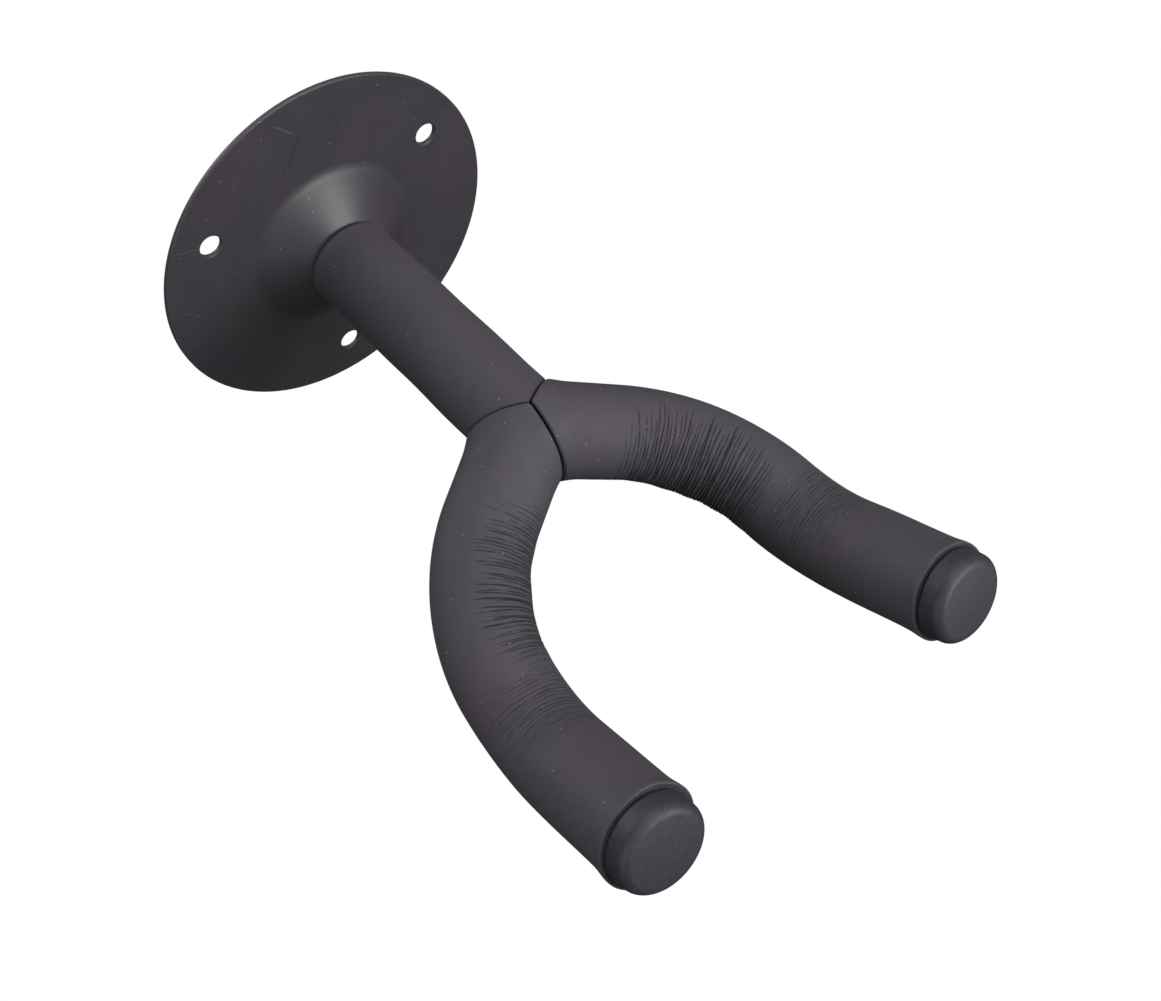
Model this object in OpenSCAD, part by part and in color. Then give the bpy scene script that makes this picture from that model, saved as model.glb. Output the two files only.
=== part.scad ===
// Wall guitar hanger: a foam-covered steel yoke on a threaded stud, screwed into a
// domed round wall plate. Origin: centre of the plate's back face, on the wall.
// The hanger stands out along -Y and +Z is up. Millimetres and degrees.

/* [Wall plate] */
// Diameter of the wall plate
plate_d = 98; // [90:1:120]
// Thickness of the sheet it is pressed from
plate_t = 1.5; // [1.2:0.1:2]
// Height of the dome's flat top above the rim
dome_h = 8.2; // [7:0.1:12]
// Diameter where the dome meets the flat rim
dome_base_d = 46; // [40:1:52]
// Diameter of the dome's flat top
dome_top_d = 22; // [20:1:24]
// Diameter of the circle through the screw holes
screw_circle_d = 76; // [70:1:80]
// Diameter of a screw hole
screw_hole_d = 6; // [4:0.5:6.5]
// Length of the tapped collar, from the dome's top back
collar_len = 3.6; // [3:0.1:4.5]

/* [Stud] */
// Outside diameter of the stud, a 1/4 inch screw thread
stud_d = 6.35; // [6:0.05:6.5]
// How far the stud reaches out of the shank's foam
stud_reach = 4.9; // [4.5:0.1:6]
// How deep the stud is set into the shank
stud_depth = 14; // [8:1:20]

/* [Yoke] */
// Diameter of the steel rods
rod_d = 8; // [7.5:0.5:9]
// Outside diameter of the foam
foam_d = 23.6; // [22:0.2:26]
// From the foam's wall end to the point where the rods meet
shank_len = 74; // [65:1:85]
// How far the shank's steel end is sunk in its foam
steel_recess = 2; // [1:0.5:4]
// Turn of each arm away from the shank's line
arm_spread = 59; // [55:1:65]
// Downward slope of each arm where it leaves the shank
arm_dip = 16; // [10:1:20]
// Straight run before the first bend
run_in = 24; // [20:1:30]
// Angle of the first bend, which brings the arm round to the front
bend1_angle = 50; // [45:1:55]
// Radius of the first bend, at the rod's centre
bend1_r = 50; // [40:1:60]
// Straight run between the two bends
run_mid = 1; // [1:0.5:4]
// Twist between the planes of the two bends
bend_twist = 68; // [60:1:75]
// Angle of the second bend, which turns the tip up
bend2_angle = 33; // [25:1:38]
// Radius of the second bend, at the rod's centre
bend2_r = 40; // [35:1:50]
// Straight run after the second bend, up to the cap's outer face
run_out = 35; // [30:1:40]

/* [End caps] */
// Outside diameter of an end cap
cap_d = 22.2; // [20:0.2:23]
// Visible length of an end cap
cap_len = 6.4; // [5:0.2:9]
// Rounding of its outer edge
cap_edge_r = 2.6; // [1:0.1:3]
// Thickness of its closed end
cap_floor = 2.4; // [2:0.2:4]

/* [Fits] */
// Clearance left between pieces of the yoke
seam_gap = 0.2; // [0.1:0.05:0.4]
// Gap between the plate and the foam when the yoke is screwed home
home_gap = 0.3; // [0.2:0.1:0.6]
// Radial clearance of the stud in its two bores
thread_clear = 0.05; // [0.03:0.01:0.08]

/* [Hidden] */
$fn = 96;
paint_black = "#2a2a2d";
foam_charcoal = "#3f3d41";
rubber_black = "#323235";
steel_grey = "#8b8c8e";

big = 200;                 // larger than any piece, for half-space cuts
arc_steps = 8;             // straight pieces in each rounded corner of an outline
screw_angles = [30, 150, 270];   // where the screw holes sit, anticlockwise from the right
plate_edge_r = 0.35;       // easing of the plate's cut edges
base_fillet_r = 6;         // front face, where the rim turns up into the dome
top_fillet_r = 3;          // front face, where the dome turns into its flat top
collar_wall = 1.35;        // wall of the tapped collar
hole_lip_r = 1.1;          // rounding of the centre hole's front edge
stud_chamfer = 0.9;        // lead-in on the stud's end
weld_d = 14;               // ball of weld where the three rods meet
bore_slack = 0.1;          // foam bore over the rod, on radius
bend_overlap = 0.4;        // how far each bend runs on into the straight runs
bend_step = 0.02;          // bends are this much thinner, so they end inside those runs

rod_r = rod_d / 2;
foam_r = foam_d / 2;
bore_r = rod_r + bore_slack;
weld_room_r = weld_d / 2 + bore_slack;
thread_r = stud_d / 2 + thread_clear;
plate_front = plate_t + dome_h;                 // front of the dome's flat top
foam_start = plate_front + home_gap;            // wall end of the shank's foam
steel_start = foam_start + steel_recess;        // wall end of the shank's rod
stud_tip = foam_start - stud_reach;
junction = foam_start + shank_len;              // where the rods' centre lines meet
sleeve_out = run_out - cap_len - seam_gap;      // foam's share of the last straight run
rod_out = run_out - cap_floor;                  // rod's share of it

// Turn between the shank's line and an arm, and the heading of the plane that holds both
arm_turn = acos(cos(arm_spread) * cos(arm_dip));
arm_heading = atan2(-sin(arm_dip), sin(arm_spread) * cos(arm_dip));

// ---- frames ---------------------------------------------------------------

// Turns a shape drawn with +Z out of the wall and +Y up into the part's own frame
module out_of_wall() rotate([90, 0, 0]) children();

// Carries a shape drawn along +Z to where the right arm leaves the shank
module at_arm() translate([0, 0, junction]) rotate([0, arm_spread, 0]) rotate([arm_dip, 0, 0]) children();

// Draws the arm's shape on the right, or mirrored on the left
module arm_side(side) mirror([side < 0 ? 1 : 0, 0, 0]) children();

// Carries a shape drawn along +Z past a bend of the given radius and angle
module past_bend(radius, angle)
    translate([radius * (cos(angle) - 1), 0, radius * sin(angle)]) rotate([0, -angle, 0]) children();

// Sweeps a flat shape round a bend that starts along +Z and curls towards -X, both
// ends run on a little into the straight runs beside it
module bend(radius, angle) {
    run_on = bend_overlap / radius * 180 / PI;
    translate([-radius, 0, 0]) rotate([90, 0, 0]) rotate([0, 0, -run_on])
        rotate_extrude(angle = angle + 2 * run_on) translate([radius, 0]) children();
}

// ---- shared shapes --------------------------------------------------------

// Points of an arc about a centre, from one angle to another
function arc(centre, radius, from, to) =
    [for (i = [0:arc_steps])
        let (a = from + (to - from) * i / arc_steps)
        centre + radius * [cos(a), sin(a)]];

// Carries a shape drawn along +Z to the short straight run between the two bends
module at_mid_run() translate([0, 0, run_in]) past_bend(bend1_r, bend1_angle) children();

// Carries a shape drawn along +Z to the start of the second bend
module at_bend2() at_mid_run() translate([0, 0, run_mid]) rotate([0, 0, -bend_twist]) children();

// Carries a shape drawn along +Z to the start of the arm's last straight run
module at_last_run() at_bend2() past_bend(bend2_r, bend2_angle) children();

// A round bar, or a tube where the bore isn't zero, grown or shrunk in its wall
module ring(outer, bore, grow) difference() {
    circle(outer + grow);
    if (bore > 0) circle(bore - grow);
}

// Sweeps that ring along an arm from the first bend to a length of its last run
module arm_bends(outer, bore, last_run) {
    translate([0, 0, run_in]) bend(bend1_r, bend1_angle) ring(outer, bore, -bend_step);
    at_mid_run() linear_extrude(run_mid) ring(outer, bore, 0);
    at_bend2() bend(bend2_r, bend2_angle) ring(outer, bore, -bend_step);
    at_last_run() linear_extrude(last_run) ring(outer, bore, 0);
}

// Everything on the far side of the mitre plane between the shank and the right arm,
// the plane moved by the given distance towards the arm
module past_mitre(shift)
    translate([0, 0, junction]) rotate([0, 0, arm_heading]) rotate([0, arm_turn / 2, 0])
        translate([-big / 2, -big / 2, shift]) cube(big);

// Everything before that plane
module before_mitre(shift)
    translate([0, 0, junction]) rotate([0, 0, arm_heading]) rotate([0, arm_turn / 2, 0])
        translate([-big / 2, -big / 2, shift - big]) cube(big);

// Everything left of the plane between the two arms, moved to the right
module left_of_centre(shift) translate([shift - big, -big / 2, junction - big / 2]) cube(big);

// ---- wall plate -----------------------------------------------------------

// Half section of the pressed sheet: x is the radius, y the height above the wall
module plate_section() {
    base_r = dome_base_d / 2;
    top_r = dome_top_d / 2;
    slope = atan2(dome_h, base_r - top_r);
    base_c = [base_r + base_fillet_r * tan(slope / 2), plate_t + base_fillet_r];
    top_c = [top_r - top_fillet_r * tan(slope / 2), plate_front - top_fillet_r];
    rim = plate_d / 2 - plate_edge_r;
    back = plate_front - plate_t;
    collar_back = plate_front - collar_len;
    collar_r = thread_r + collar_wall;
    polygon(concat(
        arc([rim, plate_t - plate_edge_r], plate_edge_r, 0, 90),
        arc(base_c, base_fillet_r, 270, 270 - slope),
        arc(top_c, top_fillet_r, 90 - slope, 90),
        arc([thread_r + hole_lip_r, plate_front - hole_lip_r], hole_lip_r, 90, 180),
        [[thread_r, collar_back], [collar_r - plate_edge_r, collar_back],
         [collar_r, collar_back + plate_edge_r]],
        [[collar_r, back - plate_edge_r], [collar_r + plate_edge_r, back]],
        arc(top_c, top_fillet_r - plate_t, 90, 90 - slope),
        arc(base_c, base_fillet_r + plate_t, 270 - slope, 270),
        arc([rim, plate_edge_r], plate_edge_r, 270, 360)));
}

module wall_plate()
    color(paint_black) out_of_wall() difference() {
        rotate_extrude() plate_section();
        for (a = screw_angles)
            rotate([0, 0, a]) translate([screw_circle_d / 2, 0, -1]) cylinder(d = screw_hole_d, h = plate_t + 2);
    }

// ---- stud and rods --------------------------------------------------------

module threaded_stud()
    color(steel_grey) out_of_wall() {
        tip_r = stud_d / 2 - stud_chamfer / 2;
        translate([0, 0, stud_tip]) cylinder(r1 = tip_r, r2 = stud_d / 2, h = stud_chamfer);
        translate([0, 0, stud_tip + stud_chamfer])
            cylinder(d = stud_d, h = steel_start + stud_depth - stud_tip - stud_chamfer);
    }

module shank_rod()
    color(steel_grey) out_of_wall() difference() {
        translate([0, 0, steel_start]) cylinder(r = rod_r, h = junction + rod_d - steel_start);
        translate([0, 0, steel_start - 1]) cylinder(r = thread_r, h = stud_depth + 1 + seam_gap);
        for (side = [1, -1]) arm_side(side) past_mitre(0);
    }

module arm_rod(side)
    color(steel_grey) out_of_wall() arm_side(side) {
        difference() {
            at_arm() translate([0, 0, -rod_d]) cylinder(r = rod_r, h = rod_d + run_in);
            before_mitre(0);
            left_of_centre(0);
        }
        at_arm() arm_bends(rod_r, 0, rod_out);
    }

module arm_rod_left() arm_rod(-1);
module arm_rod_right() arm_rod(1);

// The ball of weld, without the rods that run into it
module junction_weld()
    color(steel_grey) out_of_wall() difference() {
        translate([0, 0, junction]) sphere(d = weld_d);
        translate([0, 0, junction - weld_d]) cylinder(r = rod_r, h = weld_d);
        for (side = [1, -1]) arm_side(side) at_arm() cylinder(r = rod_r, h = weld_d);
        translate([0, 0, junction]) sphere(r = rod_r * 1.01);
    }

// ---- foam -----------------------------------------------------------------

module shank_sleeve()
    color(foam_charcoal) out_of_wall() difference() {
        translate([0, 0, foam_start]) linear_extrude(shank_len + foam_d) ring(foam_r, bore_r, 0);
        for (side = [1, -1]) arm_side(side) past_mitre(-seam_gap / 2);
        translate([0, 0, junction]) sphere(r = weld_room_r);
    }

module arm_sleeve(side)
    color(foam_charcoal) out_of_wall() arm_side(side) {
        difference() {
            at_arm() translate([0, 0, -foam_d]) linear_extrude(foam_d + run_in) ring(foam_r, bore_r, 0);
            before_mitre(seam_gap / 2);
            left_of_centre(seam_gap / 2);
            translate([0, 0, junction]) sphere(r = weld_room_r);
        }
        at_arm() arm_bends(foam_r, bore_r, sleeve_out);
    }

module arm_sleeve_left() arm_sleeve(-1);
module arm_sleeve_right() arm_sleeve(1);

// ---- end caps -------------------------------------------------------------

// Half section of a cap: x is the radius, y runs from its open end to its closed end
module cap_section() {
    cap_r = cap_d / 2;
    polygon(concat(
        [[rod_r + seam_gap / 4, 0], [cap_r, 0]],
        arc([cap_r - cap_edge_r, cap_len - cap_edge_r], cap_edge_r, 0, 90),
        [[0, cap_len], [0, cap_len - cap_floor + seam_gap / 2],
         [rod_r + seam_gap / 4, cap_len - cap_floor + seam_gap / 2]]));
}

module end_cap(side)
    color(rubber_black) out_of_wall() arm_side(side) at_arm() at_last_run()
        translate([0, 0, run_out - cap_len]) rotate_extrude() cap_section();

module end_cap_left() end_cap(-1);
module end_cap_right() end_cap(1);

wall_plate();
threaded_stud();
shank_rod();
arm_rod_left();
arm_rod_right();
junction_weld();
shank_sleeve();
arm_sleeve_left();
arm_sleeve_right();
end_cap_left();
end_cap_right();
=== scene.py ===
import math

import bmesh
import bpy
import numpy as np
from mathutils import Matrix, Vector, geometry


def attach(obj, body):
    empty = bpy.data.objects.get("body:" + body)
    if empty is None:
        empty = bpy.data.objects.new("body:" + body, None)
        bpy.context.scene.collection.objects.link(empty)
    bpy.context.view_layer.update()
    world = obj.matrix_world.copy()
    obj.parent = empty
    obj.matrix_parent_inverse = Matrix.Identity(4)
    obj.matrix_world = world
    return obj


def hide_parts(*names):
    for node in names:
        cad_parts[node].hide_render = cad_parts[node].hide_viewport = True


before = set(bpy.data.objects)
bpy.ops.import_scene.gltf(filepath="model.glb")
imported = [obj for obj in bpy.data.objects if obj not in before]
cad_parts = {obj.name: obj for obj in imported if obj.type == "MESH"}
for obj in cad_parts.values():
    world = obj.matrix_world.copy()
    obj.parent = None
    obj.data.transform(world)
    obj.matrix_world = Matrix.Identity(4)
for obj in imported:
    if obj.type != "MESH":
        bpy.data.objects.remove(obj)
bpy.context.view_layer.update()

# Every length is in metres. Shapes are worked out in a local frame: its origin is the centre of the
# plate's back face, X is to the right, Y up and Z out of the wall. out_of_wall() turns points from it
# into the row's frame.
MM = 0.001
FULL_TURN = 2 * math.pi

# ---- sizes of the design, as in the CAD model ----------------------------------------------------
# The wall plate: a pressed sheet with a dome, a collar inside the dome, and screw holes in its rim.
PLATE_R = 49 * MM
PLATE_T = 1.5 * MM
DOME_H = 8.2 * MM
DOME_BASE_R = 23 * MM
DOME_TOP_R = 11 * MM
BASE_FILLET = 6 * MM
TOP_FILLET = 3 * MM
SCREW_CIRCLE_R = 38 * MM
SCREW_HOLE_R = 3 * MM
SCREW_ANGLES = (30, 150, 270)
COLLAR_LENGTH = 3.6 * MM
COLLAR_R = 4.58 * MM

# The thread of the stud and the collar, and how far the stud stands out of the foam and into the shank.
THREAD_R = 3.175 * MM
THREAD_ROOT_R = 2.42 * MM
THREAD_PITCH = 1.27 * MM
STUD_REACH = 4.9 * MM
STUD_DEPTH = 14 * MM

# The rods, the foam on them and the caps. Each arm has a straight run, a bend, a short run, a second bend
# in a plane twisted from the first, and a last run. Its side is RIGHT or LEFT, seen from the room.
RIGHT, LEFT = 1, -1
ROD_R = 4 * MM
FOAM_R = 11.8 * MM
BORE_R = 4.3 * MM
FOAM_GAP = 0.3 * MM
FOAM_START = PLATE_T + DOME_H + FOAM_GAP
STEEL_RECESS = 2 * MM
SHANK_LENGTH = 74 * MM
JUNCTION = FOAM_START + SHANK_LENGTH
ARM_SPREAD = math.radians(59)
ARM_DIP = math.radians(16)
BEND_TWIST = math.radians(68)
RUN_IN = 24 * MM
BEND1_R, BEND1_ANGLE = 50 * MM, math.radians(50)
RUN_MID = 1 * MM
BEND2_R, BEND2_ANGLE = 40 * MM, math.radians(33)
RUN_OUT = 35 * MM
CAP_LENGTH = 6.4 * MM
CAP_R = 11.1 * MM
CAP_EDGE = 2.6 * MM
SEAM = 0.2 * MM

# Distances along an arm from the junction, and the angles round it of its bends' hollow sides.
BEND1_LENGTH = BEND1_R * BEND1_ANGLE
BEND2_LENGTH = BEND2_R * BEND2_ANGLE
BEND1_START = RUN_IN
BEND2_START = RUN_IN + BEND1_LENGTH + RUN_MID
LAST_RUN = BEND2_START + BEND2_LENGTH
ARM_END = LAST_RUN + RUN_OUT
ARM_FOAM_END = ARM_END - CAP_LENGTH - SEAM
HOLLOW1 = math.pi
HOLLOW2 = math.pi - BEND_TWIST

# Details of the meshes: how far the corners of the cut sheet are eased, how many columns its rim and its
# holes have, and the angles of the rings on an eased corner of the foam.
SHEET_EDGE = 0.35 * MM
RIM_COLUMNS, HOLE_COLUMNS = 192, 48
EASE_ANGLES = np.radians((22.5, 45, 67.5, 90))


# ---- small maths ---------------------------------------------------------------------------------
def out_of_wall(points):
    """Local points (X right, Y up, Z out of the wall) in the row's frame."""
    return np.stack([points[..., 0], -points[..., 2], points[..., 1]], axis=-1)


def turn_x(a):
    return np.array([[1, 0, 0], [0, math.cos(a), -math.sin(a)], [0, math.sin(a), math.cos(a)]])


def turn_y(a):
    """Turns about Y, for one angle or an array of them."""
    a = np.asarray(a, float)
    c, s, zero, one = np.cos(a), np.sin(a), np.zeros_like(a), np.ones_like(a)
    rows = [np.stack(r, axis=-1) for r in ((c, zero, s), (zero, one, zero), (-s, zero, c))]
    return np.stack(rows, axis=-2)


def turn_z(a):
    return np.array([[math.cos(a), -math.sin(a), 0], [math.sin(a), math.cos(a), 0], [0, 0, 1]])


def smooth(x, low, high):
    """0 below low, 1 above high, and an S-curve between them."""
    t = np.clip((x - low) / (high - low), 0, 1)
    return t * t * (3 - 2 * t)


def ripples(rng, s, theta, waves, length, turns):
    """A smooth random field over a tube, about -1 to 1: waves no shorter than length along it and no
    finer than turns round it."""
    total = np.zeros(np.broadcast(s, theta).shape)
    for _ in range(waves):
        k = rng.uniform(0.2, 1) * FULL_TURN / length * rng.choice((-1, 1))
        m = rng.integers(0, turns + 1)
        total += np.sin(k * s + m * theta + rng.uniform(0, FULL_TURN))
    usual_peak = 1.2
    return total / math.sqrt(waves) / usual_peak


def along(s, start, basis, runs):
    """Points and frames at distances s along a bent line. It starts at a point with a basis whose third
    column is its direction, and runs lists (length, bend radius or None, roll of the bend's plane).
    Distances before the start or past the end lie on the first run or the last, drawn out."""
    s = np.asarray(s, float)
    point, axes = np.zeros(s.shape + (3,)), np.zeros(s.shape + (3, 3))
    done = 0.0
    for i, (length, radius, roll) in enumerate(runs):
        here = (s >= done) if i else np.ones(s.shape, bool)
        d = s[here] - done
        if radius is None:
            point[here] = start + d[:, None] * basis[:, 2]
            axes[here] = basis
            start = start + length * basis[:, 2]
        else:
            rolled = basis @ turn_z(roll)
            a = d / radius
            local = np.stack([radius * (np.cos(a) - 1), 0 * a, radius * np.sin(a)], axis=-1)
            point[here] = start + local @ rolled.T
            axes[here] = rolled @ turn_y(-a) @ turn_z(-roll)
            whole = length / radius
            start = start + rolled @ [radius * (math.cos(whole) - 1), 0, radius * math.sin(whole)]
            basis = rolled @ turn_y(-whole) @ turn_z(-roll)
        done += length
    return point, axes


def angles_round(count):
    """Equal steps round a full turn."""
    return FULL_TURN * np.arange(count) / count


# ---- meshes --------------------------------------------------------------------------------------
def add_mesh(name, points, faces, materials, face_slots=None, sharp=None):
    """A mesh object from points in the local frame. Edges are sharp beyond an angle of sharp degrees."""
    mesh = bpy.data.meshes.new(name)
    mesh.from_pydata(out_of_wall(np.asarray(points)).tolist(), [], faces)
    for m in materials:
        mesh.materials.append(m)
    if face_slots is not None:
        mesh.polygons.foreach_set("material_index", face_slots)
    mesh.polygons.foreach_set("use_smooth", [True] * len(mesh.polygons))
    if sharp is not None:
        mesh.set_sharp_from_angle(angle=math.radians(sharp))
    mesh.update()
    obj = bpy.data.objects.new(name, mesh)
    bpy.context.scene.collection.objects.link(obj)
    return obj


def grid_faces(rows, columns, closed_rows=False, flip=False):
    """Quads of a grid whose columns go all the way round, and whose rows may too."""
    i, j = np.meshgrid(np.arange(rows if closed_rows else rows - 1), np.arange(columns), indexing="ij")
    up, right = (i + 1) % rows, (j + 1) % columns
    quad = [i * columns + j, i * columns + right, up * columns + right, up * columns + j]
    if flip:
        quad.reverse()
    return np.stack(quad, axis=-1).reshape(-1, 4).tolist()


def end_faces(rows, columns):
    """The two faces that close a grid at its first row and its last."""
    count = rows * columns
    return [tuple(range(columns - 1, -1, -1)), tuple(range(count - columns, count))]


def around_line(line, s, radius, theta):
    """Points at a radius and an angle round a line, at distances s along it."""
    point, axes = line(s)
    outwards = np.cos(theta)[:, None] * axes[..., 0] + np.sin(theta)[:, None] * axes[..., 1]
    return point + radius[..., None] * outwards


def add_field(obj, name, values):
    """A value at every point, for the material to read."""
    layer = obj.data.attributes.new(name, "FLOAT", "POINT")
    layer.data.foreach_set("value", values.reshape(-1).astype(np.float32))


def ride(obj, body, slot, *nodes):
    """The piece moves with a body and stands for these CAD nodes, which it hides. The slot is not used.
    """
    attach(obj, body)
    if nodes:
        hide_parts(*nodes)
    return obj


# ---- materials -----------------------------------------------------------------------------------
class Look:
    """A material with one Principled shader, built up from procedural nodes in the piece's own frame."""

    def __init__(self, name, **sockets):
        self.material = bpy.data.materials.new(name)
        self.material.use_nodes = True
        self.nodes = self.material.node_tree.nodes
        self.links = self.material.node_tree.links
        self.shader = self.nodes["Principled BSDF"]
        self.place = self.nodes.new("ShaderNodeTexCoord").outputs["Object"]
        self.height = None
        for socket, value in sockets.items():
            self.shader.inputs[socket.replace("_", " ")].default_value = value

    def node(self, kind, settings=(), **inputs):
        """Adds a node. Inputs are given by name, or as i0, i1 and so on by place, and each is a value or
        another node's output."""
        made = self.nodes.new(kind)
        for key, value in dict(settings).items():
            setattr(made, key, value)
        for key, value in inputs.items():
            by_place = key[0] == "i" and key[1:].isdigit()
            socket = made.inputs[int(key[1:]) if by_place else key]
            if isinstance(value, bpy.types.NodeSocket):
                self.links.new(value, socket)
            else:
                socket.default_value = value
        return made

    def noise(self, size, detail=2.0, roughness=0.5, stretch=None):
        """Noise with features of about the given size, from 0 to 1."""
        place = self.place
        if stretch:
            place = self.node("ShaderNodeMapping", Vector=place, Scale=stretch).outputs[0]
        inputs = {"Vector": place, "Scale": 1 / size, "Detail": detail, "Roughness": roughness}
        return self.node("ShaderNodeTexNoise", **inputs).outputs["Fac"]

    def lines(self, flat, spacing, length, thin, wide, detail=2.0, roughness=0.5):
        """1 on wandering lines along Y of a flat pattern, about as far apart and as long as given. They
        lie where a drawn-out noise is near its middle value, and fade from thin to wide away from it."""
        place = self.node("ShaderNodeMapping", Vector=flat, Scale=(1 / spacing, 1 / length, 1)).outputs[0]
        inputs = {"Vector": place, "Scale": 1.0, "Detail": detail, "Roughness": roughness}
        waves = self.node("ShaderNodeTexNoise", {"noise_dimensions": "2D"}, **inputs).outputs["Fac"]
        from_line = self.math("ABSOLUTE", self.math("SUBTRACT", waves, 0.5), 0.0)
        return self.ramp(from_line, thin, wide, 1.0, 0.0)

    def ramp(self, value, low, high, at_low=0.0, at_high=1.0):
        """Maps value from low..high to at_low..at_high, clamped."""
        made = self.node("ShaderNodeMapRange", i0=value, i1=low, i2=high, i3=at_low, i4=at_high)
        return made.outputs[0]

    def math(self, operation, a, b):
        return self.node("ShaderNodeMath", {"operation": operation}, i0=a, i1=b).outputs[0]

    def mix(self, factor, a, b):
        """Mixes two colours."""
        made = self.node("ShaderNodeMix", {"data_type": "RGBA"}, i0=factor, i6=a, i7=b)
        return made.outputs[2]

    def lay_over(self, base, mask, strength, colour):
        """The base with a colour over it where the mask is 1."""
        return self.mix(self.math("MULTIPLY", mask, strength), base, colour)

    def specks(self, place, spacing, size, share):
        """1 inside small scattered spots of a flat pattern: one in each of a share of its cells."""
        settings = {"voronoi_dimensions": "2D"}
        cells = self.node("ShaderNodeTexVoronoi", settings, Vector=place, Scale=1 / spacing)
        near = self.ramp(cells.outputs["Distance"], size / spacing * 0.5, size / spacing, 1.0, 0.0)
        chosen = self.node("ShaderNodeSeparateColor", i0=cells.outputs["Color"]).outputs[0]
        kept = self.math("LESS_THAN", chosen, share)
        return self.math("MULTIPLY", near, kept)

    def attribute(self, name, output="Fac"):
        return self.node("ShaderNodeAttribute", {"attribute_name": name}).outputs[output]

    def bump(self, height, depth, strength=1.0):
        """Adds a bump of the given depth in metres, on top of the bumps so far."""
        inputs = {"Height": height, "Distance": depth, "Strength": strength}
        if self.height is not None:
            inputs["Normal"] = self.height
        self.height = self.node("ShaderNodeBump", **inputs).outputs[0]
        self.links.new(self.height, self.shader.inputs["Normal"])

    def set(self, socket, value):
        self.links.new(value, self.shader.inputs[socket])


def grey(value, warmth=0.0, cold=0.0):
    """A near-neutral colour, faintly blue, more purple for more warmth, and bluer for more cold."""
    return (value * (1.04 + warmth), value, value * (1.19 + 0.3 * warmth + cold), 1)


def steel(value):
    """A neutral metal colour."""
    return (value, value, 0.98 * value, 1)


def foam_look(name, shift):
    """Closed-cell foam: a smooth, matte charcoal skin with a fine grain, faint tints and a little dust.
    Over the bends the skin is creased, and its colour is darkened in the creases as painted shade. The
    shift moves the noise, so that no two sleeves look the same."""
    look = Look(name, Roughness=0.68, Specular_IOR_Level=0.30)
    look.place = look.node("ShaderNodeMapping", Vector=look.place, Location=(shift, 0, 0)).outputs[0]
    skin = look.attribute("unrolled", "Vector")
    clouds = look.ramp(look.noise(34 * MM, detail=1.0), 0.35, 0.68)
    base = look.mix(clouds, grey(0.044), grey(0.045, 0.14))
    mottle = look.ramp(look.noise(2.2 * MM, detail=3.0), 0.3, 0.72)
    base = look.lay_over(base, mottle, 0.2, grey(0.062, 0.05))

    # Fine lines lie between the folds of the mesh. They are fainter than the folds. The colour is
    # darkened along both the lines and the folds: painted shade in the creases.
    across = look.lines(skin, spacing=1.1 * MM, length=13 * MM, thin=0.0, wide=0.05, detail=1.6)
    line = look.math("MULTIPLY", across, look.attribute("bent"))
    fold = look.attribute("crease_shade")
    dark = look.math("MAXIMUM", look.math("MULTIPLY", line, 0.28), look.math("MULTIPLY", fold, 0.95))
    base = look.mix(dark, base, grey(0.005))

    dust = look.specks(skin, spacing=11 * MM, size=0.17 * MM, share=0.55)
    lint = look.specks(skin, spacing=3.5 * MM, size=0.08 * MM, share=0.35)
    base = look.lay_over(base, dust, 0.7, grey(0.34, 0.02))
    base = look.lay_over(base, lint, 0.4, grey(0.20, 0.02))
    look.set("Base Color", base)
    look.set("Roughness", look.ramp(look.noise(6 * MM), 0.3, 0.7, 0.63, 0.73))
    grain, dimples = look.noise(0.28 * MM), look.noise(2.6 * MM)
    look.bump(grain, 0.030 * MM, 0.6)
    look.bump(dimples, 0.10 * MM, 0.35)
    look.bump(look.math("MULTIPLY", line, -1.0), 0.12 * MM, 0.5)
    return look.material


def cut_foam_look():
    """The cut face of the foam: darker and open, with pores, and painted shade darkening each pore
    towards its middle.
    """
    look = Look("cut_foam", Roughness=0.85, Specular_IOR_Level=0.25)
    pore_size = 0.45 * MM
    pores = look.node("ShaderNodeTexVoronoi", Vector=look.place, Scale=1 / pore_size).outputs["Distance"]
    # Painted shade: the colour darkens towards the bottom of each pore.
    look.set("Base Color", look.mix(look.ramp(pores, 0.1, 0.55), grey(0.012), grey(0.030, 0.02)))
    look.bump(pores, 0.16 * MM, 0.8)
    return look.material


def scratch(look, centre, radius, middle, reach, width):
    """A scratch on the plate's front, along an arc: 1 on the line within reach of its middle, and broken
    here and there. The arc's centre and the scratch's middle are points in the row's frame."""
    ring = look.node("ShaderNodeVectorMath", {"operation": "DISTANCE"}, i0=look.place, i1=centre)
    off = look.math("ABSOLUTE", look.math("SUBTRACT", ring.outputs["Value"], radius), 0.0)
    line = look.ramp(off, 0.3 * width, width, 1.0, 0.0)
    near = look.node("ShaderNodeVectorMath", {"operation": "DISTANCE"}, i0=look.place, i1=middle)
    span = look.ramp(near.outputs["Value"], 0.6 * reach, reach, 1.0, 0.0)
    broken = look.ramp(look.noise(3 * MM), 0.30, 0.55)
    depth = look.node("ShaderNodeSeparateXYZ", i0=look.place).outputs["Y"]
    front = look.math("LESS_THAN", depth, -0.7 * PLATE_T)
    return look.math("MULTIPLY", look.math("MULTIPLY", line, span), look.math("MULTIPLY", broken, front))


def scuffs(look, flat):
    """Fine straight scratches on the flat sheet, all much the same way, in loose patches."""
    direction = math.radians(63)
    turned = look.node("ShaderNodeMapping", Vector=flat, Rotation=(0, 0, direction)).outputs[0]
    line = look.lines(turned, spacing=0.8 * MM, length=18 * MM, thin=0.004, wide=0.014, roughness=0.6)
    patches = look.ramp(look.noise(11 * MM), 0.50, 0.66)
    return look.math("MULTIPLY", line, patches)


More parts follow.
